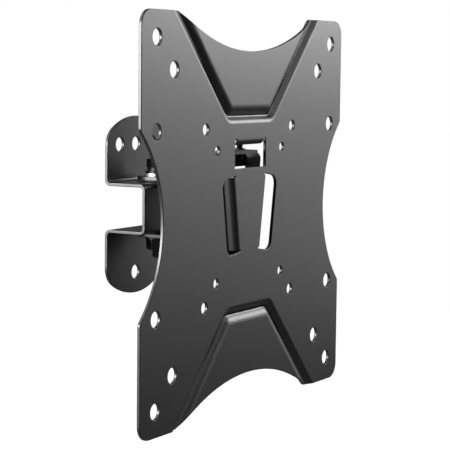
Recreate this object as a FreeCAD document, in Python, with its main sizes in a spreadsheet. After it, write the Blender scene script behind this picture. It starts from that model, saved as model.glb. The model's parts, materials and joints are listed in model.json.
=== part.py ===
import FreeCAD, Part
import math
import os
import re
import Sketcher

doc = FreeCAD.newDocument("TvWallMount")

# Driving dimensions in millimetres and degrees. The wall face is the plane y = 0, the television is
# on the -Y side, +X is to the right of somebody who looks at the wall, and +Z is up. The television
# plate and the hanger are drawn from the centre of the plate's front face, the arm from the swivel axis.
SIZES = [
    # television plate
    ("PlateSideMargin", 15.0),
    ("PlateEndMargin", 14.5),
    ("PlateSheet", 2.0),
    ("PlateCornerRadius", 9.0),
    ("PlateStandoff", 82.0),
    ("PlateDrop", 1.0),
    ("WaistWidth", 186.0),
    ("WaistRadius", 69.5),
    ("ShoulderRadius", 4.0),
    ("EndArcRadius", 151.0),
    ("EndArcDepth", 20.5),
    # holes for the television's screws
    ("LargePattern", 200.0),
    ("HalfPattern", 100.0),
    ("DiagonalPattern", 166.0),
    ("SmallPattern", 75.0),
    ("LargeHole", 9.0),
    ("MediumHole", 6.5),
    ("SmallHole", 5.5),
    # pressed stiffening grooves of the television plate
    ("GrooveWidth", 6.8),
    ("GrooveDepth", 2.6),
    ("GrooveRounding", 1.2),
    ("GrooveOuterRim", 4.0),
    ("GrooveInnerRim", 7.0),
    ("GrooveRunHalf", 24.0),
    ("GrooveRunHeight", 57.3),
    ("GrooveLean", 43.0),
    ("GrooveOuterRadius", 9.0),
    ("GrooveInnerRadius", 4.0),
    # slots with the ears that are folded back from their inner edges
    ("EarLean", 8.8),
    ("EarFaceAtCentre", 17.4),
    ("EarHeight", 43.0),
    ("EarDepth", 14.5),
    ("FoldRelief", 0.8),
    ("SlotWidth", 11.3),
    ("SlotCornerRadius", 5.5),
    ("BendRadius", 1.6),
    # window with the tab that is folded back from its top edge
    ("WindowHalfWidth", 17.8),
    ("WindowBottom", 26.6),
    ("TabTop", 43.6),
    ("TabHalfWidth", 15.8),
    ("TabDepth", 14.0),
    ("FoldCornerRadius", 3.0),
    # bent wall bracket
    ("WallWidth", 61.0),
    ("WallHeight", 108.0),
    ("WallSheet", 2.0),
    ("WallEndRadius", 46.0),
    ("WallCornerRadius", 13.0),
    ("HatHeight", 30.0),
    ("HatDepth", 28.6),
    ("WallHole", 8.5),
    ("WallHoleSpacing", 17.4),
    ("UpperHoleHeight", 37.2),
    ("LowerHoleHeight", 41.2),
    # swivel joint
    ("SwivelFromWall", 18.4),
    ("SwivelBolt", 8.0),
    ("SwivelFlats", 13.0),
    ("RunningClearance", 0.08),
    ("SlipThickness", 0.8),
    ("SlipDiameter", 20.0),
    ("ArmSheet", 2.5),
    ("ArmWidth", 25.6),
    ("YokeGap", 0.4),
    ("SpringWasherThickness", 2.0),
    ("SpringWasherDiameter", 14.0),
    ("SpringWasherSlit", 1.2),
    ("PlainWasherThickness", 1.6),
    ("PlainWasherDiameter", 16.4),
    ("BrightWasherDiameter", 18.0),
    ("SwivelHeadHeight", 5.3),
    ("SwivelNutHeight", 6.5),
    ("SwivelBoltEnd", 4.8),
    # tilt joint
    ("TiltFromPlate", 29.5),
    ("TiltBolt", 6.0),
    ("TiltFlats", 10.0),
    ("TiltEarRadius", 7.0),
    ("TiltEarFace", 9.0),
    ("TiltWasherDiameter", 12.0),
    ("TiltHeadHeight", 4.0),
    ("TiltNutHeight", 6.0),
    ("TiltBoltEnd", 1.6),
    # hanger that the television plate drops into
    ("HangerSheet", 2.0),
    ("HangerWebFromPlate", 17.4),
    ("HangerFlangeFromPlate", 7.0),
    ("HangerTop", 36.5),
    ("HangerFlangeTop", 35.0),
    ("HangerBottom", 27.0),
    ("HangerCornerRadius", 4.5),
    ("HangerWindowTop", 26.0),
    ("HangerWindowBottom", 13.0),
    ("HangerWindowInset", 1.0),
    ("LipHalfWidth", 13.0),
    ("LipFromPlate", 2.6),
    ("LipCollarDiameter", 7.0),
    ("LipCollarHeight", 1.2),
    ("PocketClearance", 0.3),
    # locking screw
    ("LockScrew", 4.0),
    ("LockHeadDiameter", 7.5),
    ("LockHeadHeight", 3.0),
    ("LockScrewEnd", 3.0),
    ("HoleClearance", 0.25),
]

sheet = doc.addObject("Spreadsheet::Sheet", "Sizes")
for row, (alias, size) in enumerate(SIZES, 1):
    sheet.set(f"A{row}", alias)
    sheet.set(f"B{row}", str(size))
    sheet.setAlias(f"B{row}", alias)
doc.recompute()

# Sizes that follow from the driving ones.
plate_width = "(LargePattern + 2*PlateSideMargin)"
plate_height = "(LargePattern + 2*PlateEndMargin)"
axis_z = "((LowerHoleHeight - UpperHoleHeight)/2)"
plate_z = f"({axis_z} - PlateDrop)"
swivel_to_tilt = "(PlateStandoff - SwivelFromWall - TiltFromPlate)"
arm_reach = f"({swivel_to_tilt} - TiltEarRadius - YokeGap)"
arm_bend = "(BendRadius + ArmSheet)"
sheet_bend = "(BendRadius + PlateSheet)"
lock_screw_y = f"({sheet_bend} + LockHeadDiameter/2 + HoleClearance)"

# Lengths, an angle and a share that only help the construction.
OVERLAP = 0.5  # how far a joined part starts inside the one it continues
HAIR = 0.01  # what a rounding leaves of the edge it uses up
SAME = 0.02  # lengths that differ by less than this are the same
WALL_SLOPE = 45  # lean of a groove's walls, in degrees
BEVEL_RIM = 0.475  # radius where the bevel of a hexagon starts, as a share of the flats
SPARE = 12  # blank outside the plate, trimmed off after pressing
BEYOND = 5  # how far waste reaches past the metal it takes away
THROUGH = 20  # depth of a cut that goes right through a sheet


def value(formula):
    """The number that a formula of sheet names has now."""
    result = sheet.evalExpression(formula)
    return float(getattr(result, "Value", result))


def bound(formula):
    """The formula with each sheet name written as a reference to the sheet."""
    return re.sub(r"\b([A-Z]\w+)", r"Sizes.\1", formula)


def bind(target, **formulas):
    for name, formula in formulas.items():
        target.setExpression(name, bound(formula))
    return target


def place(target, x="0", y="0", z="0"):
    for axis, formula in (("x", x), ("y", y), ("z", z)):
        target.setExpression(f"Placement.Base.{axis}", bound(formula))
    return target


def new_body(label):
    body = doc.addObject("PartDesign::Body", label)
    body.Label = label
    return body


def new_sketch(body, plane, offset=("0", "0", "0"), turn_axis=None, turn=None):
    """A sketch on one of the body's own planes, moved and turned in that plane's axes."""
    sketch = body.newObject("Sketcher::SketchObject", body.Name + "_sketch")
    planes = {feature.Role: feature for feature in body.Origin.OriginFeatures}
    sketch.AttachmentSupport = [(planes[plane], "")]
    sketch.MapMode = "FlatFace"
    if turn is not None:
        sketch.AttachmentOffset = FreeCAD.Placement(
            FreeCAD.Vector(), FreeCAD.Rotation(turn_axis, value(turn))
        )
        sketch.setExpression("AttachmentOffset.Rotation.Angle", bound(turn))
    for axis, formula in zip("xyz", offset):
        sketch.setExpression(f"AttachmentOffset.Base.{axis}", bound(formula))
    return sketch


def pin_point(sketch, geometry, position, x, y):
    """Holds a point of the sketch at a formula's distance from the sketch's origin."""
    for kind, formula in (("DistanceX", x), ("DistanceY", y)):
        constraint = Sketcher.Constraint(kind, -1, 1, geometry, position, value(formula))
        index = sketch.addConstraint(constraint)
        sketch.setExpression(f"Constraints[{index}]", bound(formula))


def set_radius(sketch, geometry, formula):
    index = sketch.addConstraint(Sketcher.Constraint("Radius", geometry, value(formula)))
    sketch.setExpression(f"Constraints[{index}]", bound(formula))


def draw_circle(sketch, x, y, diameter):
    centre = FreeCAD.Vector(value(x), value(y), 0)
    circle = Part.Circle(centre, FreeCAD.Vector(0, 0, 1), value(diameter) / 2)
    geometry = sketch.addGeometry(circle)
    pin_point(sketch, geometry, 3, x, y)
    set_radius(sketch, geometry, f"({diameter})/2")


def draw_outline(sketch, corners):
    """A closed outline through corners (x, y) or, where the corner is rounded, (x, y, radius)."""
    points = [FreeCAD.Vector(value(corner[0]), value(corner[1]), 0) for corner in corners]
    radii = [corner[2] if len(corner) > 2 else None for corner in corners]
    count = len(points)
    rounds = []
    for index, point in enumerate(points):
        if radii[index] is None:
            rounds.append((point, point, None))
            continue
        back = (points[index - 1] - point).normalize()
        ahead = (points[(index + 1) % count] - point).normalize()
        half = back.getAngle(ahead) / 2
        radius = value(radii[index])
        centre = point + (back + ahead).normalize() * (radius / math.sin(half))
        reach = radius / math.tan(half)
        rounds.append((point + back * reach, point + ahead * reach, centre))
    lines = []
    for index in range(count):
        segment = Part.LineSegment(rounds[index][1], rounds[(index + 1) % count][0])
        lines.append(sketch.addGeometry(segment))
    for index, corner in enumerate(corners):
        before = lines[index - 1]
        after = lines[index]
        start, end, centre = rounds[index]
        if centre is None:
            sketch.addConstraint(Sketcher.Constraint("Coincident", before, 2, after, 1))
            pin_point(sketch, after, 1, corner[0], corner[1])
            continue
        start_angle = math.atan2(start.y - centre.y, start.x - centre.x)
        end_angle = math.atan2(end.y - centre.y, end.x - centre.x)
        turns_left = (start - centre).cross(end - centre).z > 0
        circle = Part.Circle(centre, FreeCAD.Vector(0, 0, 1), (start - centre).Length)
        angles = (start_angle, end_angle) if turns_left else (end_angle, start_angle)
        arc = sketch.addGeometry(Part.ArcOfCircle(circle, *angles))
        first, last = (1, 2) if turns_left else (2, 1)
        tip = sketch.addGeometry(Part.Point(points[index]), True)
        pin_point(sketch, tip, 1, corner[0], corner[1])
        sketch.addConstraint(Sketcher.Constraint("PointOnObject", tip, 1, before))
        sketch.addConstraint(Sketcher.Constraint("PointOnObject", tip, 1, after))
        sketch.addConstraint(Sketcher.Constraint("Tangent", before, 2, arc, first))
        sketch.addConstraint(Sketcher.Constraint("Tangent", after, 1, arc, last))
        set_radius(sketch, arc, radii[index])


def draw_rectangle(sketch, left, bottom, right, top, radius=None):
    corners = [(left, bottom), (right, bottom), (right, top), (left, top)]
    if radius is not None:
        corners = [(x, y, radius) for x, y in corners]
    draw_outline(sketch, corners)


def draw_cap(sketch, half_width, apex, radius, side):
    """The waste outside a bowed end: an arc that reaches apex on the axis, closed by a box beyond it."""
    sign = "" if side > 0 else "-1*"
    centre = f"{sign}(({apex}) - ({radius}))"
    shoulder = f"{sign}(({apex}) - ({radius}) + sqrt(({radius})^2 - ({half_width})^2))"
    beyond = f"{sign}(({apex}) + {BEYOND})"
    middle = FreeCAD.Vector(0, value(centre), 0)
    angle = math.acos(value(half_width) / value(radius))
    angles = (angle, math.pi - angle) if side > 0 else (math.pi + angle, -angle)
    circle = Part.Circle(middle, FreeCAD.Vector(0, 0, 1), value(radius))
    arc = sketch.addGeometry(Part.ArcOfCircle(circle, *angles))
    corners = [(half_width, shoulder), (half_width, beyond), (f"-1*({half_width})", beyond)]
    corners.append((f"-1*({half_width})", shoulder))
    points = [FreeCAD.Vector(value(x), value(y), 0) for x, y in corners]
    lines = [sketch.addGeometry(Part.LineSegment(*points[i:i + 2])) for i in range(3)]
    for i in range(2):
        sketch.addConstraint(Sketcher.Constraint("Coincident", lines[i], 2, lines[i + 1], 1))
    right_end, left_end = (1, 2) if side > 0 else (2, 1)
    sketch.addConstraint(Sketcher.Constraint("Coincident", arc, right_end, lines[0], 1))
    sketch.addConstraint(Sketcher.Constraint("Coincident", lines[2], 2, arc, left_end))
    for i in range(3):
        pin_point(sketch, lines[i], 1, *corners[i])
    pin_point(sketch, lines[2], 2, *corners[3])
    set_radius(sketch, arc, radius)


def pad(body, sketch, length, both_ways=False, backwards=False, taper=None):
    feature = body.newObject("PartDesign::Pad", body.Name + "_pad")
    feature.Profile = sketch
    feature.Midplane = both_ways
    feature.Reversed = backwards
    bind(feature, Length=length)
    if taper is not None:
        feature.TaperAngle = taper
    sketch.Visibility = False
    doc.recompute()
    return feature


def pocket(body, sketch, length, both_ways=True, backwards=False, taper=None):
    """A pocket that has to take some metal away."""
    before = body.Shape.Volume
    feature = body.newObject("PartDesign::Pocket", body.Name + "_pocket")
    feature.Profile = sketch
    feature.Midplane = both_ways
    feature.Reversed = backwards
    bind(feature, Length=length)
    if taper is not None:
        feature.TaperAngle = taper
    sketch.Visibility = False
    doc.recompute()
    if before - body.Shape.Volume < SAME:
        raise ValueError(f"{body.Label}: a pocket takes nothing away")
    return feature


def mirror(body, features):
    """The features again on the other side of the body's YZ plane."""
    planes = {feature.Role: feature for feature in body.Origin.OriginFeatures}
    feature = body.newObject("PartDesign::Mirrored", body.Name + "_mirrored")
    feature.Originals = features
    feature.MirrorPlane = (planes["YZ_Plane"], [""])
    body.Tip = feature
    doc.recompute()
    return feature


def fillet(body, radius, chosen):
    """Rounds the edges of the body that the test picks."""
    base = body.Tip
    names = [f"Edge{i}" for i, edge in enumerate(base.Shape.Edges, 1) if chosen(edge)]
    if not names:
        raise ValueError(f"{body.Label}: no edge to round")
    feature = body.newObject("PartDesign::Fillet", body.Name + "_fillet")
    feature.Base = (base, names)
    bind(feature, Radius=radius)
    doc.recompute()
    if "Invalid" in feature.State or not body.Shape.isValid():
        raise ValueError(f"{body.Label}: the rounding of {names} failed")
    return feature


def near(number, formula):
    return abs(number - value(formula)) < SAME


def corner_edge(edge, axis, x=None, y=None, z=None):
    """Whether a straight edge runs along the axis and its middle lies at the formulas that are given."""
    if edge.Curve.TypeId != "Part::GeomLine":
        return False
    direction = edge.Vertexes[0].Point - edge.Vertexes[-1].Point
    others = [abs(part) for name, part in zip("xyz", direction) if name != axis]
    if max(others) > SAME:
        return False
    middle = edge.CenterOfMass
    places = ((abs(middle.x), x), (middle.y, y), (abs(middle.z), z))
    return all(near(number, formula) for number, formula in places if formula is not None)


def folded_profile(sketch, start, bend, end, thick):
    """An L of sheet: flat from start to the bend, then turned through a right angle to end.

    start and end are the free ends, bend is the sharp outside corner; the metal lies inside it.
    """
    (sx, sy), (bx, by), (ex, ey) = start, bend, end
    outer = f"BendRadius + {thick}"
    along_x = sy == by
    if along_x:
        inner_y = f"({by}) + ({thick})*({way_to(by, ey)})"
        inner_x = f"({bx}) + ({thick})*({way_to(bx, sx)})"
        corners = [(sx, sy), (bx, by, outer), (ex, ey), (inner_x, ey)]
        corners += [(inner_x, inner_y, "BendRadius"), (sx, inner_y)]
    else:
        inner_x = f"({bx}) + ({thick})*({way_to(bx, ex)})"
        inner_y = f"({by}) + ({thick})*({way_to(by, sy)})"
        corners = [(sx, sy), (bx, by, outer), (ex, ey), (ex, inner_y)]
        corners += [(inner_x, inner_y, "BendRadius"), (inner_x, sy)]
    draw_outline(sketch, corners)


def way_to(origin, target):
    """1 or -1, the way from one formula's value to the other's."""
    return 1 if value(target) > value(origin) else -1


# Wall bracket: one strip bent to a hat, its ends bowed, with three holes above and one below.
wall_plate = new_body("wall_plate")
hat = new_sketch(wall_plate, "YZ_Plane")
outer_bend = "(BendRadius + WallSheet)"
draw_outline(hat, [
    ("0", "WallHeight/2"),
    ("-WallSheet", "WallHeight/2"),
    ("-WallSheet", "HatHeight/2", "BendRadius"),
    ("-HatDepth", "HatHeight/2", outer_bend),
    ("-HatDepth", "-HatHeight/2", outer_bend),
    ("-WallSheet", "-HatHeight/2", "BendRadius"),
    ("-WallSheet", "-WallHeight/2"),
    ("0", "-WallHeight/2"),
    ("0", "WallSheet - HatHeight/2", outer_bend),
    ("WallSheet - HatDepth", "WallSheet - HatHeight/2", "BendRadius"),
    ("WallSheet - HatDepth", "HatHeight/2 - WallSheet", "BendRadius"),
    ("0", "HatHeight/2 - WallSheet", outer_bend),
])
pad(wall_plate, hat, "WallWidth", both_ways=True)
for side in (1, -1):
    cap = new_sketch(wall_plate, "XZ_Plane")
    draw_cap(cap, f"WallWidth/2 + {BEYOND}", "WallHeight/2", "WallEndRadius", side)
    pocket(wall_plate, cap, str(THROUGH))
fillet(
    wall_plate,
    "WallCornerRadius",
    lambda edge: corner_edge(edge, "y", x="WallWidth/2") and near(edge.Length, "WallSheet"),
)
wall_holes = new_sketch(wall_plate, "XZ_Plane")
for column in (-1, 0, 1):
    draw_circle(wall_holes, f"{column}*WallHoleSpacing", "UpperHoleHeight", "WallHole")
draw_circle(wall_holes, "0", "-LowerHoleHeight", "WallHole")
pocket(wall_plate, wall_holes, str(THROUGH))
shelf_bores = new_sketch(wall_plate, "XY_Plane")
draw_circle(shelf_bores, "0", "-SwivelFromWall", "SwivelBolt + 2*RunningClearance")
pocket(wall_plate, shelf_bores, f"HatHeight + {BEYOND}")
place(wall_plate, z=axis_z)

# Swivel arm: a strip folded to a C that grips the hat from above and below, with two ears folded
# forward from the sides of its web for the tilt bolt.
swivel_arm = new_body("swivel_arm")
flange = "(HatHeight/2 + SlipThickness)"
channel = new_sketch(swivel_arm, "YZ_Plane")
draw_outline(channel, [
    ("ArmWidth/2", f"{flange} + ArmSheet"),
    (f"-{arm_reach}", f"{flange} + ArmSheet", arm_bend),
    (f"-{arm_reach}", f"-{flange} - ArmSheet", arm_bend),
    ("ArmWidth/2", f"-{flange} - ArmSheet"),
    ("ArmWidth/2", f"-{flange}"),
    (f"ArmSheet - {arm_reach}", f"-{flange}", "BendRadius"),
    (f"ArmSheet - {arm_reach}", flange, "BendRadius"),
    ("ArmWidth/2", flange),
])
pad(swivel_arm, channel, "ArmWidth", both_ways=True)
fillet(
    swivel_arm,
    f"ArmWidth/2 - {HAIR}",
    lambda edge: corner_edge(edge, "z", x="ArmWidth/2", y="ArmWidth/2"),
)
arm_bores = new_sketch(swivel_arm, "XY_Plane")
draw_circle(arm_bores, "0", "0", "SwivelBolt + 2*HoleClearance")
pocket(swivel_arm, arm_bores, "2*HatHeight")
neck = new_sketch(swivel_arm, "XZ_Plane")
draw_rectangle(
    neck,
    f"TiltEarFace - {arm_bend}",
    "-TiltEarRadius - FoldRelief",
    f"ArmWidth/2 + {BEYOND}",
    "TiltEarRadius + FoldRelief",
)
neck_cut = pocket(swivel_arm, neck, f"{arm_reach} + {BEYOND}", both_ways=False, backwards=True)
ear = new_sketch(swivel_arm, "XY_Plane")
folded_profile(
    ear,
    (f"TiltEarFace - {arm_bend} - {OVERLAP}", f"ArmSheet - {arm_reach}"),
    ("TiltEarFace", f"ArmSheet - {arm_reach}"),
    ("TiltEarFace", f"-{swivel_to_tilt} - TiltEarRadius"),
    "ArmSheet",
)
ear_pad = pad(swivel_arm, ear, "2*TiltEarRadius", both_ways=True)
mirror(swivel_arm, [neck_cut, ear_pad])
fillet(
    swivel_arm,
    f"TiltEarRadius - {HAIR}",
    lambda edge: corner_edge(edge, "x", y=f"-{swivel_to_tilt} - TiltEarRadius", z="TiltEarRadius"),
)
arm_pivot = new_sketch(swivel_arm, "YZ_Plane")
draw_circle(arm_pivot, f"-{swivel_to_tilt}", "0", "TiltBolt + 2*RunningClearance")
pocket(swivel_arm, arm_pivot, "4*TiltEarFace")
place(swivel_arm, y="-SwivelFromWall", z=axis_z)

# Tilt yoke: a short U welded to the back of the hanger, its ears outside the arm's ears.
tilt_yoke = new_body("tilt_yoke")
yoke_back = "(HangerWebFromPlate + HangerSheet)"
yoke_face = "(TiltEarFace + SlipThickness)"
yoke = new_sketch(tilt_yoke, "XY_Plane")
yoke_end = "TiltFromPlate + TiltEarRadius"
draw_outline(yoke, [
    (f"-{yoke_face} - ArmSheet", yoke_back, arm_bend),
    (f"{yoke_face} + ArmSheet", yoke_back, arm_bend),
    (f"{yoke_face} + ArmSheet", yoke_end),
    (yoke_face, yoke_end),
    (yoke_face, f"{yoke_back} + ArmSheet", "BendRadius"),
    (f"-{yoke_face}", f"{yoke_back} + ArmSheet", "BendRadius"),
    (f"-{yoke_face}", yoke_end),
    (f"-{yoke_face} - ArmSheet", yoke_end),
])
pad(tilt_yoke, yoke, "2*TiltEarRadius", both_ways=True)
fillet(
    tilt_yoke,
    f"TiltEarRadius - {HAIR}",
    lambda edge: corner_edge(edge, "x", y=yoke_end, z="TiltEarRadius"),
)
yoke_pivot = new_sketch(tilt_yoke, "YZ_Plane")
draw_circle(yoke_pivot, "TiltFromPlate", "0", "TiltBolt + 2*HoleClearance")
pocket(tilt_yoke, yoke_pivot, "4*TiltEarFace")
place(tilt_yoke, y="-PlateStandoff", z=axis_z)

# Hanger: a web with two leaning flanges that form a pocket for the plate's ears, and a lip on top.
hanger = new_body("hanger")
ear_face = "EarFaceAtCentre"
hanger_bend = "(BendRadius + HangerSheet)"
hanger_middle = "((HangerFlangeTop - HangerBottom)/2)"


def web_edge(height):
    """Where the flat of the web ends at a height, beside the flange's bend."""
    return f"({ear_face} + (PocketClearance - BendRadius)/cos(EarLean) + ({height})*tan(EarLean))"


web = new_sketch(hanger, "XZ_Plane", offset=("0", "0", "-HangerWebFromPlate"))
web_top = f"HangerTop - {hanger_bend}"
draw_outline(web, [
    (f"-{web_edge('-HangerBottom')}", "-HangerBottom"),
    (web_edge("-HangerBottom"), "-HangerBottom"),
    (web_edge(web_top), web_top),
    (f"-{web_edge(web_top)}", web_top),
])
pad(hanger, web, "HangerSheet", backwards=True)
lean_axis = FreeCAD.Vector(0, 1, 0)
flange_sketch = new_sketch(
    hanger,
    "XY_Plane",
    offset=(f"{ear_face} + {hanger_middle}*tan(EarLean)", "0", hanger_middle),
    turn_axis=lean_axis,
    turn="EarLean",
)
folded_profile(
    flange_sketch,
    (f"PocketClearance - BendRadius - {OVERLAP}", "HangerWebFromPlate + HangerSheet"),
    ("PocketClearance + HangerSheet", "HangerWebFromPlate + HangerSheet"),
    ("PocketClearance + HangerSheet", "HangerFlangeFromPlate"),
    "HangerSheet",
)
flange_pad = pad(hanger, flange_sketch, "(HangerFlangeTop + HangerBottom)/cos(EarLean)", both_ways=True)
mirror(hanger, [flange_pad])


def front_top_corner(edge):
    """The upper front corners of the leaning flanges."""
    points = [vertex.Point for vertex in edge.Vertexes]
    at_front = all(near(point.y, "HangerFlangeFromPlate") for point in points)
    return at_front and near(edge.Length, "HangerSheet") and points[0].z > 0


fillet(hanger, "HangerCornerRadius", front_top_corner)
lip = new_sketch(hanger, "YZ_Plane")
folded_profile(
    lip,
    ("HangerWebFromPlate + HangerSheet", f"{web_top} - {OVERLAP}"),
    ("HangerWebFromPlate + HangerSheet", "HangerTop"),
    ("LipFromPlate", "HangerTop"),
    "HangerSheet",
)
pad(hanger, lip, "2*LipHalfWidth", both_ways=True)
# The web's window was punched before folding and runs over both bends, so it notches the flanges.
hanger_window = new_sketch(
    hanger, "XZ_Plane", offset=("0", "0", "HangerWindowInset - HangerWebFromPlate")
)
window_low = f"({web_edge('HangerWindowBottom')} + 2*{hanger_bend})"
window_high = f"({web_edge('HangerWindowTop')} + 2*{hanger_bend})"
draw_outline(hanger_window, [
    (f"-{window_low}", "HangerWindowBottom"),
    (window_low, "HangerWindowBottom"),
    (window_high, "HangerWindowTop"),
    (f"-{window_high}", "HangerWindowTop"),
])
pocket(hanger, hanger_window, str(THROUGH), both_ways=False)
collar = new_sketch(hanger, "XY_Plane", offset=("0", "0", f"HangerTop - {OVERLAP}"))
draw_circle(collar, "0", lock_screw_y, "LipCollarDiameter")
pad(hanger, collar, f"LipCollarHeight + {OVERLAP}")
lip_bore = new_sketch(hanger, "XY_Plane", offset=("0", "0", "HangerTop"))
draw_circle(lip_bore, "0", lock_screw_y, f"LockScrew + 2*{HAIR}")
pocket(hanger, lip_bore, str(THROUGH))
place(hanger, y="-PlateStandoff", z=plate_z)

# Television plate: one pressed sheet. Grooves first, then the outline through them, then the folds.
tv_plate = new_body("tv_plate")
blank = new_sketch(tv_plate, "XZ_Plane")
blank_x = f"({plate_width}/2 + {SPARE})"
blank_z = f"({plate_height}/2 + {SPARE})"
draw_rectangle(blank, f"-{blank_x}", f"-{blank_z}", blank_x, blank_z)
pad(tv_plate, blank, "PlateSheet", backwards=True)


def draw_groove(sketch, half_width, side):
    """The band that follows a groove: level in the middle, leaning out past the blank's edge."""
    corner = f"({half_width})*tan((90 - GrooveLean)/2)"
    ends = f"({blank_z} + {BEYOND})"
    outer_x = f"(GrooveRunHalf + {corner})"
    inner_x = f"(GrooveRunHalf - {corner})"
    outer_z = f"(GrooveRunHeight - ({half_width}))"
    inner_z = f"(GrooveRunHeight + ({half_width}))"
    outer_end = f"({outer_x} + ({ends} - {outer_z})*tan(GrooveLean))"
    inner_end = f"({inner_x} + ({ends} - {inner_z})*tan(GrooveLean))"
    right = [
        (outer_x, outer_z, "GrooveOuterRadius"),
        (outer_end, ends),
        (inner_end, ends),
        (inner_x, inner_z, "GrooveInnerRadius"),
    ]
    left = [(f"-{corner[0]}", *corner[1:]) for corner in reversed(right)]
    corners = right + left
    if side < 0:
        corners = [(corner[0], f"-{corner[1]}", *corner[2:]) for corner in corners]
    draw_outline(sketch, corners)


back_half = f"GrooveWidth/2 + PlateSheet*tan({WALL_SLOPE}/2)"
bulge = new_sketch(tv_plate, "XZ_Plane", offset=("0", "0", "-PlateSheet"))
for side in (1, -1):
    draw_groove(bulge, back_half, side)
pad(tv_plate, bulge, "GrooveDepth", backwards=True, taper=-WALL_SLOPE)
groove = new_sketch(tv_plate, "XZ_Plane")
for side in (1, -1):
    draw_groove(groove, "GrooveWidth/2", side)
pocket(tv_plate, groove, "GrooveDepth", both_ways=False, taper=-WALL_SLOPE)
overhang = new_sketch(tv_plate, "XZ_Plane")
draw_rectangle(overhang, f"-2*{blank_x}", f"-2*{blank_z}", f"2*{blank_x}", f"2*{blank_z}")
draw_rectangle(overhang, f"-{blank_x}", f"-{blank_z}", blank_x, blank_z)
pocket(tv_plate, overhang, str(THROUGH))


def enclosed(point):
    """Whether a point lies on the panel that a groove runs round on three sides."""
    past_run = abs(point.z) - value("GrooveRunHeight")
    middle = value("GrooveRunHalf") + past_run * math.tan(math.radians(value("GrooveLean")))
    return past_run > 0 and abs(point.x) < middle


def groove_edges(depth, panels=(True, False)):
    """Picks the edges that run along the grooves at one depth, beside the enclosed panel or outside it."""

    def chosen(edge):
        points = [vertex.Point for vertex in edge.Vertexes]
        level = all(near(point.y, depth) for point in points)
        inside = any(abs(point.z) < value(f"{plate_height}/2") for point in points)
        inside = inside and all(abs(point.x) < value(f"{plate_width}/2") for point in points)
        beside = enclosed(edge.CenterOfMass) in panels
        return level and inside and beside and edge.Length > value("PlateSheet")

    return chosen


# The sheet keeps its thickness round every bend: the far face's radius is larger or smaller by it.
for rim, panel in (("GrooveOuterRim", False), ("GrooveInnerRim", True)):
    fillet(tv_plate, rim, groove_edges("0", [panel]))
    fillet(tv_plate, f"{rim} - PlateSheet", groove_edges("PlateSheet", [panel]))
fillet(tv_plate, "GrooveRounding", groove_edges("GrooveDepth"))
fillet(tv_plate, "GrooveRounding + PlateSheet", groove_edges("GrooveDepth + PlateSheet"))

trim = new_sketch(tv_plate, "XZ_Plane")
draw_rectangle(trim, f"-2*{blank_x}", f"-2*{blank_z}", f"2*{blank_x}", f"2*{blank_z}")
draw_rectangle(
    trim,
    f"-{plate_width}/2",
    f"-{plate_height}/2",
    f"{plate_width}/2",
    f"{plate_height}/2",
    "PlateCornerRadius",
)
pocket(tv_plate, trim, str(THROUGH))
bites = new_sketch(tv_plate, "XZ_Plane")
for side in (1, -1):
    draw_circle(bites, "0", f"{side}*({plate_height}/2 - EndArcDepth + EndArcRadius)", "2*EndArcRadius")
pocket(tv_plate, bites, str(THROUGH))
waist = new_sketch(tv_plate, "XZ_Plane")
for side in (1, -1):
    draw_circle(waist, f"{side}*(WaistWidth/2 + WaistRadius)", "0", "2*WaistRadius")
pocket(tv_plate, waist, str(THROUGH))


def shoulder(edge):
    """The corners where the waist cuts into the plate's sides."""
    at_side = corner_edge(edge, "y", x=f"{plate_width}/2")
    return at_side and abs(edge.CenterOfMass.z) < value("WaistRadius")


fillet(tv_plate, "ShoulderRadius", shoulder)

slot = new_sketch(
    tv_plate,
    "XZ_Plane",
    offset=(ear_face, "0", "0"),
    turn_axis=FreeCAD.Vector(0, 0, 1),
    turn="-EarLean",
)
slot_half = "(EarHeight/2 + FoldRelief)"
draw_outline(slot, [
    (f"-{sheet_bend}", f"-{slot_half}"),
    ("SlotWidth", f"-{slot_half}", "SlotCornerRadius"),
    ("SlotWidth", slot_half, "SlotCornerRadius"),
    (f"-{sheet_bend}", slot_half),
])
slot_cut = pocket(tv_plate, slot, str(THROUGH))
ear_sketch = new_sketch(
    tv_plate, "XY_Plane", offset=(ear_face, "0", "0"), turn_axis=lean_axis, turn="EarLean"
)
folded_profile(ear_sketch, (f"-{sheet_bend} - {OVERLAP}", "0"), ("0", "0"), ("0", "EarDepth"), "PlateSheet")
plate_ear = pad(tv_plate, ear_sketch, "EarHeight", both_ways=True)
mirror(tv_plate, [slot_cut, plate_ear])

window = new_sketch(tv_plate, "XZ_Plane")
draw_rectangle(window, "-WindowHalfWidth", "WindowBottom", "WindowHalfWidth", "TabTop")
pocket(tv_plate, window, str(THROUGH))
tab = new_sketch(tv_plate, "YZ_Plane")
folded_profile(
    tab,
    ("0", f"TabTop + {OVERLAP}"),
    ("0", f"TabTop - {sheet_bend}"),
    ("TabDepth", f"TabTop - {sheet_bend}"),
    "PlateSheet",
)
pad(tv_plate, tab, "2*TabHalfWidth", both_ways=True)
tab_bore = new_sketch(tv_plate, "XY_Plane", offset=("0", "0", "TabTop"))
draw_circle(tab_bore, "0", lock_screw_y, "LockScrew + 2*HoleClearance")
pocket(tv_plate, tab_bore, str(THROUGH))


def round_back_corners(edge):
    """The rear corners of the ears and of the tab."""
    points = [vertex.Point for vertex in edge.Vertexes]
    at_ear = all(near(point.y, "EarDepth") for point in points)
    at_tab = all(near(point.y, "TabDepth") for point in points)
    return near(edge.Length, "PlateSheet") and (at_ear or at_tab)


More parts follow.
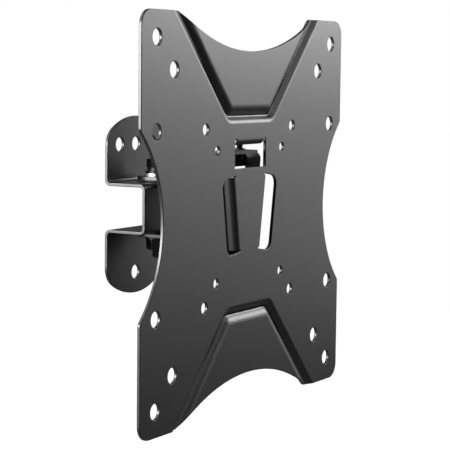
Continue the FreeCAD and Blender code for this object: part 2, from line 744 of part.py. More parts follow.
fillet(tv_plate, "FoldCornerRadius", round_back_corners)
screw_holes = new_sketch(tv_plate, "XZ_Plane")
hole_sets = [
    ("LargePattern", "LargePattern", "LargeHole"),
    ("LargePattern", "HalfPattern", "LargeHole"),
    ("DiagonalPattern", "DiagonalPattern", "LargeHole"),
    ("HalfPattern", "HalfPattern", "MediumHole"),
    ("SmallPattern", "SmallPattern", "SmallHole"),
]
for across, upright, bore in hole_sets:
    for right in (1, -1):
        for up in (1, -1):
            draw_circle(screw_holes, f"{right}*{across}/2", f"{up}*{upright}/2", bore)
pocket(tv_plate, screw_holes, str(THROUGH))
place(tv_plate, y="-PlateStandoff", z=plate_z)


def part(kind, name, **formulas):
    return bind(doc.addObject(kind, name), **formulas)


def turned(target, axis, angle):
    target.Placement = FreeCAD.Placement(FreeCAD.Vector(), FreeCAD.Rotation(axis, angle))
    return target


def cylinder(name, diameter, height, base):
    """A disc or rod along Z that starts at the height base."""
    return place(part("Part::Cylinder", name, Radius=f"({diameter})/2", Height=height), z=base)


def hexagon(name, flats, height, base, crowned):
    """A hexagon along Z whose corners are bevelled at 30 degrees on the crowned ends."""
    prism = part("Part::Prism", name + "_prism", Circumradius=f"({flats})/sqrt(3)", Height=height)
    prism.Polygon = 6
    body = place(prism, z=base)
    slope = f"({height})/tan(30)"
    rim = f"({flats})*{BEVEL_RIM}"
    for end in crowned:
        cone = part("Part::Cone", f"{name}_{end}", Height=height)
        wide, narrow = ("Radius1", "Radius2") if end == "top" else ("Radius2", "Radius1")
        bind(cone, **{wide: f"{rim} + {slope}", narrow: rim})
        place(cone, z=base)
        common = doc.addObject("Part::Common", f"{name}_{end}_bevel")
        common.Base = body
        common.Tool = cone
        body = common
    return body


def fuse(name, pieces):
    union = doc.addObject("Part::MultiFuse", name)
    union.Shapes = pieces
    union.Refine = True
    return union


def cut(name, base, tool):
    result = doc.addObject("Part::Cut", name)
    result.Base = base
    result.Tool = tool
    return result


def ring(name, outer, inner, height, base):
    disc = cylinder(name + "_disc", outer, height, base)
    hole = cylinder(name + "_hole", inner, height, base)
    return cut(name, disc, hole)


nodes = {}
for body in (wall_plate, swivel_arm, tilt_yoke, hanger, tv_plate):
    nodes[body.Label] = body


def keep(name, piece):
    """Registers a finished piece under its node name."""
    piece.Label = name
    nodes[name] = piece
    return piece


# Swivel stack, drawn on the Z axis and moved to the swivel axis. Heights run outward from the arm.
SWIVEL_Y = "-SwivelFromWall"
bolt_bore = "SwivelBolt + 2*RunningClearance"
arm_top = f"({flange} + ArmSheet)"
bright_top = f"({arm_top} + PlainWasherThickness)"
plain_top = f"({bright_top} + PlainWasherThickness)"
spring_top = f"({plain_top} + SpringWasherThickness)"
bottom_washer = f"(-{arm_top} - PlainWasherThickness)"
nut_base = f"({bottom_washer} - SwivelNutHeight)"
bolt_tip = f"({nut_base} - SwivelBoltEnd)"

head = hexagon("swivel_head", "SwivelFlats", "SwivelHeadHeight", spring_top, ["top"])
shank = cylinder("swivel_shank", "SwivelBolt", f"{spring_top} - {bolt_tip} + {OVERLAP}", bolt_tip)
keep("swivel_bolt", place(fuse("swivel_bolt", [head, shank]), y=SWIVEL_Y, z=axis_z))

spring_ring = ring(
    "swivel_spring_ring", "SpringWasherDiameter", bolt_bore, "SpringWasherThickness", plain_top
)
slit = part(
    "Part::Box",
    "swivel_spring_slit",
    Length="SpringWasherDiameter",
    Width="SpringWasherSlit",
    Height="SpringWasherThickness",
)
place(slit, y="-SpringWasherSlit/2", z=plain_top)
keep("swivel_spring_washer", place(cut("swivel_spring_washer", spring_ring, slit), y=SWIVEL_Y, z=axis_z))

washers = [
    ("swivel_top_washer", "PlainWasherDiameter", "PlainWasherThickness", bright_top),
    ("swivel_bright_washer", "BrightWasherDiameter", "PlainWasherThickness", arm_top),
    ("swivel_slip_washer_top", "SlipDiameter", "SlipThickness", "HatHeight/2"),
    ("swivel_slip_washer_bottom", "SlipDiameter", "SlipThickness", f"-{flange}"),
    ("swivel_bottom_washer", "PlainWasherDiameter", "PlainWasherThickness", bottom_washer),
]
for name, outer, thickness, base in washers:
    keep(name, place(ring(name, outer, bolt_bore, thickness, base), y=SWIVEL_Y, z=axis_z))

nut_body = hexagon("swivel_nut", "SwivelFlats", "SwivelNutHeight", nut_base, ["bottom"])
nut_bore = cylinder("swivel_nut_bore", bolt_bore, "SwivelNutHeight", nut_base)
keep("swivel_nut", place(cut("swivel_nut", nut_body, nut_bore), y=SWIVEL_Y, z=axis_z))

# Tilt stack, drawn on the Z axis and turned to lie along X through the tilt axis.
TILT_Y = "TiltFromPlate - PlateStandoff"
ACROSS = FreeCAD.Vector(0, 1, 0)
tilt_bore = "TiltBolt + 2*RunningClearance"
yoke_outside = f"({yoke_face} + ArmSheet)"
tilt_washer_out = f"({yoke_outside} + SlipThickness)"


def lay_across(piece):
    return place(turned(piece, ACROSS, 90), y=TILT_Y, z=axis_z)


tilt_head = hexagon("tilt_head", "TiltFlats", "TiltHeadHeight", tilt_washer_out, ["top"])
tilt_tip = f"(-{tilt_washer_out} - TiltNutHeight - TiltBoltEnd)"
tilt_shank = cylinder("tilt_shank", "TiltBolt", f"{tilt_washer_out} - {tilt_tip} + {OVERLAP}", tilt_tip)
keep("tilt_bolt", lay_across(fuse("tilt_bolt", [tilt_head, tilt_shank])))
tilt_nut_base = f"(-{tilt_washer_out} - TiltNutHeight)"
tilt_nut_body = hexagon("tilt_nut", "TiltFlats", "TiltNutHeight", tilt_nut_base, ["bottom"])
tilt_nut_bore = cylinder("tilt_nut_bore", tilt_bore, "TiltNutHeight", tilt_nut_base)
keep("tilt_nut", lay_across(cut("tilt_nut", tilt_nut_body, tilt_nut_bore)))
tilt_rings = [
    ("tilt_washer_head", yoke_outside),
    ("tilt_washer_nut", f"-{tilt_washer_out}"),
    ("tilt_friction_washer_head", "TiltEarFace"),
    ("tilt_friction_washer_nut", f"-{yoke_face}"),
]
for name, base in tilt_rings:
    keep(name, lay_across(ring(name, "TiltWasherDiameter", tilt_bore, "SlipThickness", base)))

# Locking screw, down through the tab into the lip of the hanger.
tab_face = f"(TabTop - {sheet_bend} + PlateSheet)"
screw_tip = "(HangerTop - HangerSheet - LockScrewEnd)"
lock_shank = cylinder("lock_shank", "LockScrew", f"{tab_face} - {screw_tip} + {OVERLAP}", screw_tip)
lock_head = cylinder("lock_head", "LockHeadDiameter", "LockHeadHeight", tab_face)
lock_screw = fuse("locking_screw", [lock_head, lock_shank])
keep("locking_screw", place(lock_screw, y=f"{lock_screw_y} - PlateStandoff", z=plate_z))

doc.recompute()

os.makedirs("parts", exist_ok=True)
for item in doc.Objects:
    if "Invalid" in item.State or "Error" in item.State:
        raise ValueError(f"{item.Label} did not rebuild: {item.State}")
for name, piece in nodes.items():
    shape = piece.Shape
    if shape.isNull() or not shape.isValid():
        raise ValueError(f"{name} has no valid shape")
    shape.exportStep(f"parts/{name}.step")
    box = shape.optimalBoundingBox(False)
    print(
        f"{name:28s} solids {len(shape.Solids)} volume {shape.Volume:9.1f} "
        f"x {box.XMin:7.1f} {box.XMax:7.1f} y {box.YMin:7.1f} {box.YMax:7.1f} z {box.ZMin:7.1f} {box.ZMax:7.1f}"
    )
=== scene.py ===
import json
import math

import bmesh
import bpy
from mathutils import Matrix, Vector

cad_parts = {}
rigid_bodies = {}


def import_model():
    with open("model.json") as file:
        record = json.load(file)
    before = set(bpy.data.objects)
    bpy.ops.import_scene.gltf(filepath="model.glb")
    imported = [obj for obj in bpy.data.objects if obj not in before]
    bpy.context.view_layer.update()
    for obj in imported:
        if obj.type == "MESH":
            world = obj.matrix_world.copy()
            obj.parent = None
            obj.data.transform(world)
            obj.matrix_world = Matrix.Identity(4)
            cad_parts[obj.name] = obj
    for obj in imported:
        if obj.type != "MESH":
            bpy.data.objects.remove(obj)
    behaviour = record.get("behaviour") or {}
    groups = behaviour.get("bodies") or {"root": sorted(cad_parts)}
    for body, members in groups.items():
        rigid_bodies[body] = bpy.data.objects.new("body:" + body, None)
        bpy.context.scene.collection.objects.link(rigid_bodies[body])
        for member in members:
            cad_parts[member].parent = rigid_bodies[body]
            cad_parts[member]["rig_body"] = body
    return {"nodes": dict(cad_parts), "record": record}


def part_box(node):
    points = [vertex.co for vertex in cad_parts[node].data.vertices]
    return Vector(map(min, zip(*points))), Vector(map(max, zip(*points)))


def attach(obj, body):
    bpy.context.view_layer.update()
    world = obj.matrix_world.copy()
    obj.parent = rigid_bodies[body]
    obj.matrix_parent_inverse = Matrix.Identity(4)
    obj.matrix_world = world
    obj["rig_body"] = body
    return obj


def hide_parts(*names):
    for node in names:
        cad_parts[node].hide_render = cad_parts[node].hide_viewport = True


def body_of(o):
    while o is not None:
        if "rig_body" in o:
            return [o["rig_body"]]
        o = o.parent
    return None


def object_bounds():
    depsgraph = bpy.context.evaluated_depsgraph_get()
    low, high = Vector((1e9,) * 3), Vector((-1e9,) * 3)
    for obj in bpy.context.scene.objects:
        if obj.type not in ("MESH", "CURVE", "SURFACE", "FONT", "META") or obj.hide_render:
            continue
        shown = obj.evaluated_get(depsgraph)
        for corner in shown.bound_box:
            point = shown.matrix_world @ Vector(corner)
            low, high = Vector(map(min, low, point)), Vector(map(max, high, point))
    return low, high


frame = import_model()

CAD_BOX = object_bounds()
MM = 0.001
NODES = frame["nodes"]
SLOTS = {part["node"]: part["material_slot"] for part in frame["record"]["subparts"]}

# Angle, distance and focal length that put the plate's screw holes and the wall bracket where the
# photograph has them. The photograph is 450 x 450 pixels.
PHOTO_PIXELS = 450
CAMERA_AZIMUTH = math.radians(-59.36)
CAMERA_ELEVATION = math.radians(5.52)
CAMERA_ROLL = math.radians(0.62)
CAMERA_DISTANCE = 0.9339
CAMERA_OFFSET_RIGHT = 0.01465
CAMERA_OFFSET_UP = 0.00689
CAMERA_NEAR = 0.01
CAMERA_FAR = 50
FOCAL_PIXELS = 1599.4
SENSOR_MM = 36.0


def plate_centre():
    """Centre of the television plate's front face."""
    low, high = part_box("tv_plate")
    return Vector(((low.x + high.x) / 2, low.y, (low.z + high.z) / 2))


def make_camera():
    """A camera at the photograph's viewing angle."""
    back = Vector((
        math.sin(CAMERA_AZIMUTH) * math.cos(CAMERA_ELEVATION),
        -math.cos(CAMERA_AZIMUTH) * math.cos(CAMERA_ELEVATION),
        math.sin(CAMERA_ELEVATION),
    ))
    level_right = Vector((0, 0, 1)).cross(back).normalized()
    level_up = back.cross(level_right)
    roll = Matrix.Rotation(CAMERA_ROLL, 3, back)
    right = roll @ level_right
    up = roll @ level_up
    place = plate_centre() + CAMERA_DISTANCE * back
    place -= CAMERA_OFFSET_RIGHT * right + CAMERA_OFFSET_UP * up
    data = bpy.data.cameras.new("camera")
    data.sensor_width = SENSOR_MM
    data.lens = FOCAL_PIXELS / PHOTO_PIXELS * SENSOR_MM
    data.clip_start = CAMERA_NEAR
    data.clip_end = CAMERA_FAR
    camera = bpy.data.objects.new("camera", data)
    turn = Matrix((right, up, back)).transposed().to_4x4()
    camera.matrix_world = Matrix.Translation(place) @ turn
    bpy.context.scene.collection.objects.link(camera)
    bpy.context.scene.camera = camera


def empty_tree(owner):
    """The node tree of a world or a material, with nothing in it."""
    owner.use_nodes = True
    owner.node_tree.nodes.clear()
    return owner.node_tree


def add_node(tree, kind, inputs=None, **settings):
    """Adds a node with its settings. The inputs give values to sockets, by name or number."""
    node = tree.nodes.new("ShaderNode" + kind)
    for name, value in settings.items():
        setattr(node, name, value)
    for socket, value in (inputs or {}).items():
        node.inputs[socket].default_value = value
    return node


def link(tree, *pairs):
    """Joins each pair of an output and an input."""
    for source, target in pairs:
        tree.links.new(source, target)


# The backdrop is white behind the object, and the rest of the studio is dark. A direction counts as
# backdrop by how nearly it points at the wall.
WHITE = (1, 1, 1, 1)
TOWARDS_WALL = (0, 1, 0)
BACKDROP_EDGE = 0.5
BACKDROP_FULL = 0.75
BACKDROP_LEVEL = 1.0
ROOM_LEVEL = 0.03


def make_world():
    """A white backdrop behind a dark studio. The camera sees white wherever it looks past the object."""
    world = bpy.data.worlds.new("studio")
    bpy.context.scene.world = world
    tree = empty_tree(world)
    white = add_node(tree, "Background", {"Color": WHITE, "Strength": 1})
    room = add_node(tree, "Background", {"Color": WHITE, "Strength": ROOM_LEVEL})
    place = add_node(tree, "TexCoord")
    facing = add_node(tree, "VectorMath", {1: TOWARDS_WALL}, operation="DOT_PRODUCT")
    span = {"From Min": BACKDROP_EDGE, "From Max": BACKDROP_FULL, "To Max": BACKDROP_LEVEL}
    backdrop = add_node(tree, "MapRange", span, interpolation_type="SMOOTHSTEP")
    path = add_node(tree, "LightPath")
    direct = add_node(tree, "Math", operation="ADD")
    share = add_node(tree, "Math", operation="ADD", use_clamp=True)
    mix = add_node(tree, "MixShader")
    output = add_node(tree, "OutputWorld")
    link(
        tree,
        (place.outputs["Generated"], facing.inputs[0]),
        (facing.outputs["Value"], backdrop.inputs["Value"]),
        (path.outputs["Is Camera Ray"], direct.inputs[0]),
        (path.outputs["Is Transmission Ray"], direct.inputs[1]),
        (direct.outputs["Value"], share.inputs[0]),
        (backdrop.outputs["Result"], share.inputs[1]),
        (share.outputs["Value"], mix.inputs["Fac"]),
        (room.outputs["Background"], mix.inputs[1]),
        (white.outputs["Background"], mix.inputs[2]),
        (mix.outputs["Shader"], output.inputs["Surface"]),
    )


def add_lamp(name, way, distance, width, height, radiance):
    """A panel lamp that stands off in the given way and shines straight at the plate's centre."""
    middle = plate_centre()
    place = middle + Vector(way).normalized() * distance
    data = bpy.data.lights.new(name, "AREA")
    data.shape = "RECTANGLE"
    data.size = width
    data.size_y = height
    data.energy = radiance * math.pi * width * height
    lamp = bpy.data.objects.new(name, data)
    lamp.location = place
    lamp.rotation_euler = (middle - place).to_track_quat("-Z", "Y").to_euler()
    bpy.context.scene.collection.objects.link(lamp)


def make_lights():
    """Lamps at the right and above, and a bright one at the left behind the plate for its outlines."""
    add_lamp("key_lamp", way=(1.0, -0.57, 0.4), distance=1.22, width=0.7, height=0.5, radiance=9.7)
    add_lamp("fill_lamp", way=(1.15, -0.66, 0.2), distance=1.34, width=1.5, height=0.9, radiance=1.2)
    add_lamp("top_lamp", way=(0.05, -0.85, 0.85), distance=1.2, width=0.6, height=0.5, radiance=3.4)
    add_lamp("side_lamp", way=(-0.84, 0.5, 0.18), distance=1.2, width=0.42, height=0.5, radiance=50)
    add_lamp("back_lamp", way=(-0.3, 0.5, 0.8), distance=1.2, width=0.6, height=0.5, radiance=4)


# The floor lies well below the object. For the camera it is white far off, and below the object that
# white is dimmed to a little grey, a painted shade.
FLOOR_DROP = 0.9
FLOOR_SIZE = 12.0
FLOOR_COLOUR = (0.25, 0.25, 0.25, 1)
FLOOR_NEAR = 0.5
FLOOR_FAR = 2.0
FLOOR_PAINTED_SHADE_LEVEL = 0.8


def floor_material():
    """A matt floor that takes the object's shadow, under a white that only the camera sees and that is
    dimmed to a painted shade below the object.
    """
    material = bpy.data.materials.new("pale_floor")
    tree = empty_tree(material)
    matt = add_node(tree, "BsdfDiffuse", {"Color": FLOOR_COLOUR})
    white = add_node(tree, "Emission")
    path = add_node(tree, "LightPath")
    place = add_node(tree, "TexCoord")
    away = add_node(tree, "VectorMath", operation="LENGTH")
    # The camera's white is weaker near the object: painted shade below it.
    span = {"From Min": FLOOR_NEAR, "From Max": FLOOR_FAR, "To Min": FLOOR_PAINTED_SHADE_LEVEL}
    level = add_node(tree, "MapRange", span)
    seen = add_node(tree, "Math", operation="MULTIPLY")
    total = add_node(tree, "AddShader")
    output = add_node(tree, "OutputMaterial")
    link(
        tree,
        (place.outputs["Object"], away.inputs[0]),
        (away.outputs["Value"], level.inputs["Value"]),
        (level.outputs["Result"], seen.inputs[0]),
        (path.outputs["Is Camera Ray"], seen.inputs[1]),
        (seen.outputs["Value"], white.inputs["Strength"]),
        (matt.outputs["BSDF"], total.inputs[0]),
        (white.outputs["Emission"], total.inputs[1]),
        (total.outputs["Shader"], output.inputs["Surface"]),
    )
    return material


def make_floor():
    """A level square below the object, which isn't part of it."""
    mesh = bpy.data.meshes.new("floor")
    shape = bmesh.new()
    bmesh.ops.create_grid(shape, x_segments=1, y_segments=1, size=FLOOR_SIZE / 2)
    shape.to_mesh(mesh)
    shape.free()
    mesh.materials.append(floor_material())
    floor = bpy.data.objects.new("floor", mesh)
    floor.location = (0, 0, CAD_BOX[0][2] - FLOOR_DROP)
    bpy.context.scene.collection.objects.link(floor)


# A noise's scale is in waves a metre, and its detail is the number of finer layers in it.
CLOUD_DETAIL = 3.0
FINE_DETAIL = 2.0

# A ramp goes from its dark to its light colour between these levels, which a noise seldom leaves.
RAMP_START = 0.3
RAMP_END = 0.7

# A place is worn where the surface, rounded off, leans away from its own direction, and only in
# patches. The limits are the cosine of that lean and the level of the patches.
WEAR_SAMPLES = 6
WEAR_START = 0.98
WEAR_FULL = 0.8
PATCH_START = 0.4
PATCH_FULL = 0.65

# A worn edge's roughness, as a share of the lowest roughness around it.
WORN_SHARE = 0.8

# The two values and the result of a mix, by the number of their sockets.
MIX_NUMBER = (2, 3, 0)
MIX_COLOUR = (6, 7, 2)


def start_finish(name):
    """A material with its surface shader, still without colour or grain."""
    material = bpy.data.materials.new(name)
    tree = empty_tree(material)
    surface = add_node(tree, "BsdfPrincipled")
    output = add_node(tree, "OutputMaterial")
    link(tree, (surface.outputs["BSDF"], output.inputs["Surface"]))
    return material, tree, surface


def add_noise(tree, scale, detail):
    """A noise that stays fixed to the object."""
    place = add_node(tree, "TexCoord")
    noise = add_node(tree, "TexNoise", {"Scale": scale, "Detail": detail})
    link(tree, (place.outputs["Object"], noise.inputs["Vector"]))
    return noise.outputs["Fac"]


def add_range(tree, source, low, high, start=0.0, end=1.0):
    """Goes from low to high while the source goes from start to end."""
    limits = {"From Min": start, "From Max": end, "To Min": low, "To Max": high}
    span = add_node(tree, "MapRange", limits)
    link(tree, (source, span.inputs["Value"]))
    return span.outputs["Result"]


def add_ramp(tree, source, dark, light):
    """A colour between the dark and the light one."""
    ramp = add_node(tree, "ValToRGB")
    first, last = ramp.color_ramp.elements
    first.color = (*dark, 1)
    last.color = (*light, 1)
    first.position = RAMP_START
    last.position = RAMP_END
    link(tree, (source, ramp.inputs["Fac"]))
    return ramp.outputs["Color"]


def add_mix(tree, share, first, second, data_type, sockets):
    """Goes from the first value, a socket, to the second, which is fixed, by the share."""
    first_socket, second_socket, result = sockets
    mix = add_node(tree, "Mix", {second_socket: second}, data_type=data_type)
    link(tree, (share, mix.inputs[0]), (first, mix.inputs[first_socket]))
    return mix.outputs[result]


def add_bump(tree, surface, height, strength, distance):
    """Raises the surface by the height, for a grain too fine to be modelled."""
    bump = add_node(tree, "Bump", {"Strength": strength, "Distance": distance})
    link(tree, (height, bump.inputs["Height"]), (bump.outputs["Normal"], surface.inputs["Normal"]))


def add_wear(tree, radius, scale):
    """How worn the surface is: none on a flat, and up to one along a sharp edge, in patches."""
    rounded = add_node(tree, "Bevel", {"Radius": radius}, samples=WEAR_SAMPLES)
    own = add_node(tree, "NewGeometry")
    lean = add_node(tree, "VectorMath", operation="DOT_PRODUCT")
    link(
        tree,
        (rounded.outputs["Normal"], lean.inputs[0]),
        (own.outputs["Normal"], lean.inputs[1]),
    )
    edge = add_range(tree, lean.outputs["Value"], 0.0, 1.0, WEAR_START, WEAR_FULL)
    cloud = add_noise(tree, scale, CLOUD_DETAIL)
    patches = add_range(tree, cloud, 0.0, 1.0, PATCH_START, PATCH_FULL)
    worn = add_node(tree, "Math", operation="MULTIPLY")
    link(tree, (edge, worn.inputs[0]), (patches, worn.inputs[1]))
    return worn.outputs["Value"]


def dress_surface(tree, surface, worn, colour, worn_colour, roughness, worn_roughness):
    """Gives the surface its colour and roughness, and the worn ones where it is worn."""
    shade = add_mix(tree, worn, colour, (*worn_colour, 1), "RGBA", MIX_COLOUR)
    sheen = add_mix(tree, worn, roughness, worn_roughness, "FLOAT", MIX_NUMBER)
    link(tree, (shade, surface.inputs["Base Color"]), (sheen, surface.inputs["Roughness"]))


# Satin black powder coat. The hanger and the yoke behind it get a thinner and duller one.
COAT_COLOURS = ((0.007, 0.007, 0.0074), (0.011, 0.011, 0.0114))
COAT_WORN_COLOUR = (0.03, 0.03, 0.031)
COAT_ROUGHNESS = (0.34, 0.44)
COAT_INNER_ROUGHNESS = (0.6, 0.72)
COAT_GRAIN_SCALE = 1600
COAT_DRIFT_SCALE = 22
COAT_WEAR_SCALE = 90
COAT_WEAR_RADIUS = 0.5 * MM
COAT_BUMP = 0.12
COAT_BUMP_HEIGHT = 0.08 * MM
INNER_NODES = ("hanger", "tilt_yoke")


def powder_coat(name, limits):
    """Black powder coat: a fine orange-peel grain under a slow change of colour, with rubbed edges."""
    material, tree, surface = start_finish(name)
    grain = add_noise(tree, COAT_GRAIN_SCALE, FINE_DETAIL)
    drift = add_noise(tree, COAT_DRIFT_SCALE, CLOUD_DETAIL)
    colour = add_ramp(tree, drift, *COAT_COLOURS)
    roughness = add_range(tree, grain, *limits)
    worn = add_wear(tree, COAT_WEAR_RADIUS, COAT_WEAR_SCALE)
    dress_surface(tree, surface, worn, colour, COAT_WORN_COLOUR, roughness, WORN_SHARE * limits[0])
    add_bump(tree, surface, grain, COAT_BUMP, COAT_BUMP_HEIGHT)
    return material


# Zinc plating, black on the screws, nuts and washers and bright on one washer of the swivel.
BLACK_ZINC_COLOURS = ((0.015, 0.015, 0.016), (0.03, 0.03, 0.032))
BLACK_ZINC_WORN_COLOUR = (0.1, 0.1, 0.105)
BLACK_ZINC_ROUGHNESS = (0.3, 0.42)
BRIGHT_ZINC_COLOURS = ((0.72, 0.73, 0.74), (0.86, 0.87, 0.88))
BRIGHT_ZINC_WORN_COLOUR = (0.92, 0.92, 0.92)
BRIGHT_ZINC_ROUGHNESS = (0.22, 0.34)
ZINC_METALLIC = 0.9
ZINC_CLOUD_SCALE = 320
ZINC_GRAIN_SCALE = 2600
ZINC_WEAR_SCALE = 220
ZINC_WEAR_RADIUS = 0.3 * MM
ZINC_BUMP = 0.2
ZINC_BUMP_HEIGHT = 0.04 * MM


def zinc(name, colours, worn_colour, limits):
    """Plated steel with a slightly cloudy plating that is rubbed thin along its edges."""
    material, tree, surface = start_finish(name)
    surface.inputs["Metallic"].default_value = ZINC_METALLIC
    cloud = add_noise(tree, ZINC_CLOUD_SCALE, CLOUD_DETAIL)
    grain = add_noise(tree, ZINC_GRAIN_SCALE, FINE_DETAIL)
    colour = add_ramp(tree, cloud, *colours)
    roughness = add_range(tree, cloud, *limits)
    worn = add_wear(tree, ZINC_WEAR_RADIUS, ZINC_WEAR_SCALE)
    dress_surface(tree, surface, worn, colour, worn_colour, roughness, WORN_SHARE * limits[0])
    add_bump(tree, surface, grain, ZINC_BUMP, ZINC_BUMP_HEIGHT)
    return material


# The washers between the parts that turn.
NYLON_COLOURS = ((0.012, 0.012, 0.013), (0.02, 0.02, 0.021))
NYLON_WORN_COLOUR = (0.05, 0.05, 0.052)
NYLON_ROUGHNESS = (0.55, 0.68)
NYLON_WORN_ROUGHNESS = 0.45
NYLON_CLOUD_SCALE = 500
NYLON_WEAR_SCALE = 300
NYLON_WEAR_RADIUS = 0.2 * MM
NYLON_BUMP = 0.15
NYLON_BUMP_HEIGHT = 0.05 * MM


def nylon(name):
    """Moulded black nylon, paler and smoother where its rim has been rubbed."""
    material, tree, surface = start_finish(name)
    cloud = add_noise(tree, NYLON_CLOUD_SCALE, FINE_DETAIL)
    colour = add_ramp(tree, cloud, *NYLON_COLOURS)
    roughness = add_range(tree, cloud, *NYLON_ROUGHNESS)
    worn = add_wear(tree, NYLON_WEAR_RADIUS, NYLON_WEAR_SCALE)
    dress_surface(tree, surface, worn, colour, NYLON_WORN_COLOUR, roughness, NYLON_WORN_ROUGHNESS)
    add_bump(tree, surface, cloud, NYLON_BUMP, NYLON_BUMP_HEIGHT)
    return material


def make_materials():
    """One finish for each material slot of the record."""
    return {
        "black_powder_coat": powder_coat("black_powder_coat", COAT_ROUGHNESS),
        "black_zinc": zinc(
            "black_zinc",
            BLACK_ZINC_COLOURS,
            BLACK_ZINC_WORN_COLOUR,
            BLACK_ZINC_ROUGHNESS,
        ),
        "bright_zinc": zinc(
            "bright_zinc",
            BRIGHT_ZINC_COLOURS,
            BRIGHT_ZINC_WORN_COLOUR,
            BRIGHT_ZINC_ROUGHNESS,
        ),
        "black_nylon": nylon("black_nylon"),
    }


def dress_nodes(materials):
    """Gives each node the finish of its slot, and the inner parts their duller coat."""
    inner_coat = powder_coat("black_powder_coat_inner", COAT_INNER_ROUGHNESS)
    for name, slot in SLOTS.items():
        node_materials = NODES[name].data.materials
        node_materials.clear()
        node_materials.append(inner_coat if name in INNER_NODES else materials[slot])


# Widths of the rounded edges, and the angles that tell an edge from a bend and a bend from a flat.
SHEET_EDGE = 0.4 * MM
SHEET_EDGE_ANGLE = math.radians(60)
FASTENER_EDGE = 0.15 * MM
FASTENER_EDGE_ANGLE = math.radians(35)
FLAT_ANGLE = math.radians(0.05)
WELD_DISTANCE = 0.001 * MM
EDGE_SEGMENTS = 3
NORMALS_WEIGHT = 100
SHEET_NODES = ("tv_plate", "wall_plate", "swivel_arm", "tilt_yoke", "hanger")


def soften(node, width, sharpest):
    """Rounds the sharp edges a little, as coating and tumbling do, so that they catch the light."""
    weld = node.modifiers.new("weld", "WELD")
    weld.merge_threshold = WELD_DISTANCE
    flats = node.modifiers.new("flats", "DECIMATE")
    flats.decimate_type = "DISSOLVE"
    flats.angle_limit = FLAT_ANGLE
    bevel = node.modifiers.new("edge", "BEVEL")
    bevel.width = width
    bevel.segments = EDGE_SEGMENTS
    bevel.limit_method = "ANGLE"
    bevel.angle_limit = sharpest
    bevel.use_clamp_overlap = False
    normals = node.modifiers.new("normals", "WEIGHTED_NORMAL")
    normals.keep_sharp = False
    normals.weight = NORMALS_WEIGHT


def soften_nodes():
    """Rounds the folded sheets more than the fasteners."""
    for name, node in NODES.items():
        if name in SHEET_NODES:
            soften(node, SHEET_EDGE, SHEET_EDGE_ANGLE)
        else:
            soften(node, FASTENER_EDGE, FASTENER_EDGE_ANGLE)


# The three screws are made again with their threads, turned heads and recess. Each stays where its
# node is, and its head seats on what it clamps. They are an M8, an M6 and an M4 with coarse threads.
# A thread ends where the plain shank begins, at this X on the tilt bolt and this Z on the others.
SWIVEL_RADIUS = 4 * MM
SWIVEL_PITCH = 1.25 * MM
SWIVEL_THREAD_END = -8 * MM
TILT_RADIUS = 3 * MM
TILT_PITCH = 1 * MM
TILT_THREAD_END = -10 * MM
LOCK_RADIUS = 2 * MM
LOCK_PITCH = 0.7 * MM
LOCK_THREAD_END = 41 * MM
LOCK_HEAD_HEIGHT = 3 * MM

# Depth of a thread as a share of its pitch, and the share of a flank's run that is flat at the
# crest and at the root. The columns are the points of a turn, and the rows the rings of a pitch.
THREAD_DEPTH = 0.61
THREAD_FLAT = 0.1
THREAD_COLUMNS = 48
THREAD_ROWS = 8

# The top face of a hexagon head as a share of its flats, the slope of its turned corners, and the
# shallow dish in that face.
HEX_COLUMNS = 72
HEX_FACE = 0.94
HEX_SLOPE = math.radians(30)
HEX_DISH = 0.86
HEX_DISH_DEPTH = 0.2 * MM

# Radius and height of a pan head's profile, as shares of the head's own.
PAN_PROFILE = ((1, 0), (1, 0.45), (0.94, 0.72), (0.82, 0.92), (0.66, 1))

# The cross recess in the pan head. The taper is the share of its size that it keeps at the bottom.
RECESS_REACH = 1.9 * MM
RECESS_HALF_WIDTH = 0.45 * MM
RECESS_DEPTH = 1.7 * MM
RECESS_TAPER = 0.5


def ring(columns, radius_at, height_at):
    """Points round the local Z axis, with a radius and a height for each angle."""
    points = []
    for column in range(columns):
        angle = 2 * math.pi * column / columns
        radius = radius_at(angle)
        points.append((radius * math.cos(angle), radius * math.sin(angle), height_at(angle)))
    return points


def flat_ring(columns, radius, height):
    """Points of a level circle round the local Z axis."""
    return ring(columns, lambda angle: radius, lambda angle: height)


def add_ring(shape, place, points):
    """Adds the points of one closed ring, and gives their vertices."""
    return [shape.verts.new(place @ Vector(point)) for point in points]


def join_rings(shape, lower, upper):
    """Adds the wall between two rings that have as many vertices."""
    count = len(lower)
    for index in range(count):
        after = (index + 1) % count
        shape.faces.new((lower[index], lower[after], upper[after], upper[index]))


def add_stack(shape, place, rings):
    """Adds a solid's floor and walls, ring by ring upwards, and gives the vertices of its top."""
    made = [add_ring(shape, place, points) for points in rings]
    for lower, upper in zip(made, made[1:]):
        join_rings(shape, lower, upper)
    shape.faces.new(made[0][::-1])
    return made[-1]


def add_thread(shape, place, tip, top, thread_end, radius, pitch):
    """A shank along local Z with a rolled thread from its chamfered tip up to thread_end."""
    depth = THREAD_DEPTH * pitch

    def radius_at(height, angle):
        turns = height / pitch - angle / (2 * math.pi)
        sunk = abs(2 * (turns % 1) - 1)
        flank = min(1, max(0, (sunk - THREAD_FLAT) / (1 - 2 * THREAD_FLAT)))
        fade = min(1, max(0, (thread_end - height) / pitch))
        chamfer = max(0, depth - (height - tip))
        return radius - max(depth * flank * fade, chamfer)

    def thread_ring(height):
        return ring(THREAD_COLUMNS, lambda angle: radius_at(height, angle), lambda angle: height)

    rows = math.ceil((thread_end - tip) / pitch * THREAD_ROWS)
    heights = [tip + (thread_end - tip) * row / rows for row in range(rows + 1)]
    end = add_stack(shape, place, [thread_ring(height) for height in (*heights, top)])
    shape.faces.new(end)


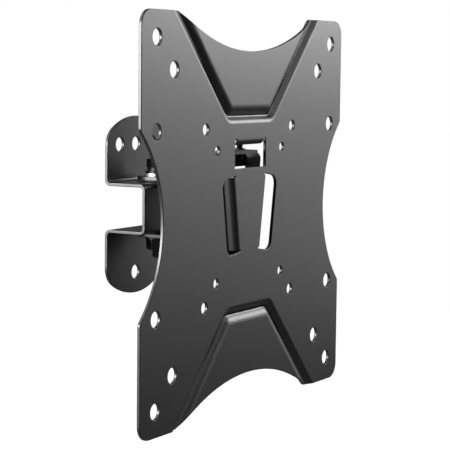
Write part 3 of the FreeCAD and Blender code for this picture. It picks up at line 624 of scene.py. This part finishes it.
def add_hex_head(shape, place, flats, base, top):
    """A hexagon head along local Z, with a corner in local X, whose top corners are turned off."""
    inner = flats / 2
    face = HEX_FACE * inner
    sixth = math.pi / 3

    def hex_radius(angle):
        return inner / math.cos(angle % sixth - sixth / 2)

    def cone_height(angle):
        return top - (hex_radius(angle) - face) * math.tan(HEX_SLOPE)

    dish = add_stack(shape, place, [
        ring(HEX_COLUMNS, hex_radius, lambda angle: base),
        ring(HEX_COLUMNS, hex_radius, cone_height),
        flat_ring(HEX_COLUMNS, face, top),
        flat_ring(HEX_COLUMNS, HEX_DISH * face, top - HEX_DISH_DEPTH),
    ])
    shape.faces.new(dish)


def cross_outline():
    """Corners of the cross recess in the local XY plane, three for each arm."""
    arm = (
        (RECESS_REACH, -RECESS_HALF_WIDTH),
        (RECESS_REACH, RECESS_HALF_WIDTH),
        (RECESS_HALF_WIDTH, RECESS_HALF_WIDTH),
    )
    corners = []
    for quarter in range(4):
        turn = Matrix.Rotation(quarter * math.pi / 2, 2)
        corners.extend(turn @ Vector(point) for point in arm)
    return corners


def add_pan_head(shape, place, radius, base, top):
    """A pan head along local Z with a cross recess in its top."""
    rings = [
        flat_ring(THREAD_COLUMNS, reach * radius, base + rise * (top - base))
        for reach, rise in PAN_PROFILE
    ]
    face = add_stack(shape, place, rings)
    cross = cross_outline()
    foot_level = top - RECESS_DEPTH
    rim = add_ring(shape, place, [(*corner, top) for corner in cross])
    foot = add_ring(shape, place, [(*(RECESS_TAPER * corner), foot_level) for corner in cross])
    edges = []
    for loop in (face, rim):
        for index, vertex in enumerate(loop):
            pair = (vertex, loop[(index + 1) % len(loop)])
            edges.append(shape.edges.get(pair) or shape.edges.new(pair))
    bmesh.ops.triangle_fill(shape, edges=edges, use_beauty=True)
    join_rings(shape, rim, foot)
    shape.faces.new(foot)


def finish_piece(name, shape, node, materials):
    """Turns the mesh into a piece that stands for the node, on its body and in its finish."""
    bmesh.ops.recalc_face_normals(shape, faces=shape.faces)
    mesh = bpy.data.meshes.new(name)
    shape.to_mesh(mesh)
    shape.free()
    mesh.materials.append(materials[SLOTS[node]])
    piece = bpy.data.objects.new(name, mesh)
    bpy.context.scene.collection.objects.link(piece)
    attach(piece, body_of(NODES[node])[0])
    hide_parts(node)


def upright_place(low, high):
    """Puts local Z upright through the middle of a box."""
    return Matrix.Translation(((low.x + high.x) / 2, (low.y + high.y) / 2, 0))


def make_swivel_bolt(materials):
    """The swivel's bolt stands upright, with its head on the spring washer."""
    low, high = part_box("swivel_bolt")
    head_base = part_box("swivel_spring_washer")[1].z
    place = upright_place(low, high)
    shape = bmesh.new()
    add_thread(shape, place, low.z, head_base, SWIVEL_THREAD_END, SWIVEL_RADIUS, SWIVEL_PITCH)
    add_hex_head(shape, place, high.y - low.y, head_base, high.z)
    finish_piece("swivel_bolt_threaded", shape, "swivel_bolt", materials)


def make_tilt_bolt(materials):
    """The tilt's bolt lies along X, with its head on its washer."""
    low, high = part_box("tilt_bolt")
    head_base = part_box("tilt_washer_head")[1].x
    middle = Matrix.Translation((0, (low.y + high.y) / 2, (low.z + high.z) / 2))
    place = middle @ Matrix.Rotation(math.pi / 2, 4, "Y")
    shape = bmesh.new()
    add_thread(shape, place, low.x, head_base, TILT_THREAD_END, TILT_RADIUS, TILT_PITCH)
    add_hex_head(shape, place, high.y - low.y, head_base, high.x)
    finish_piece("tilt_bolt_threaded", shape, "tilt_bolt", materials)


def make_locking_screw(materials):
    """The locking screw stands upright, with its head on the plate's tab."""
    low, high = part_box("locking_screw")
    head_base = high.z - LOCK_HEAD_HEIGHT
    place = upright_place(low, high)
    shape = bmesh.new()
    add_thread(shape, place, low.z, head_base, LOCK_THREAD_END, LOCK_RADIUS, LOCK_PITCH)
    add_pan_head(shape, place, (high.x - low.x) / 2, head_base, high.z)
    finish_piece("locking_screw_recessed", shape, "locking_screw", materials)


make_camera()
make_world()
make_lights()
make_floor()
MATERIALS = make_materials()
dress_nodes(MATERIALS)
soften_nodes()
make_swivel_bolt(MATERIALS)
make_tilt_bolt(MATERIALS)
make_locking_screw(MATERIALS)
bpy.context.scene.view_settings.view_transform = "Standard"
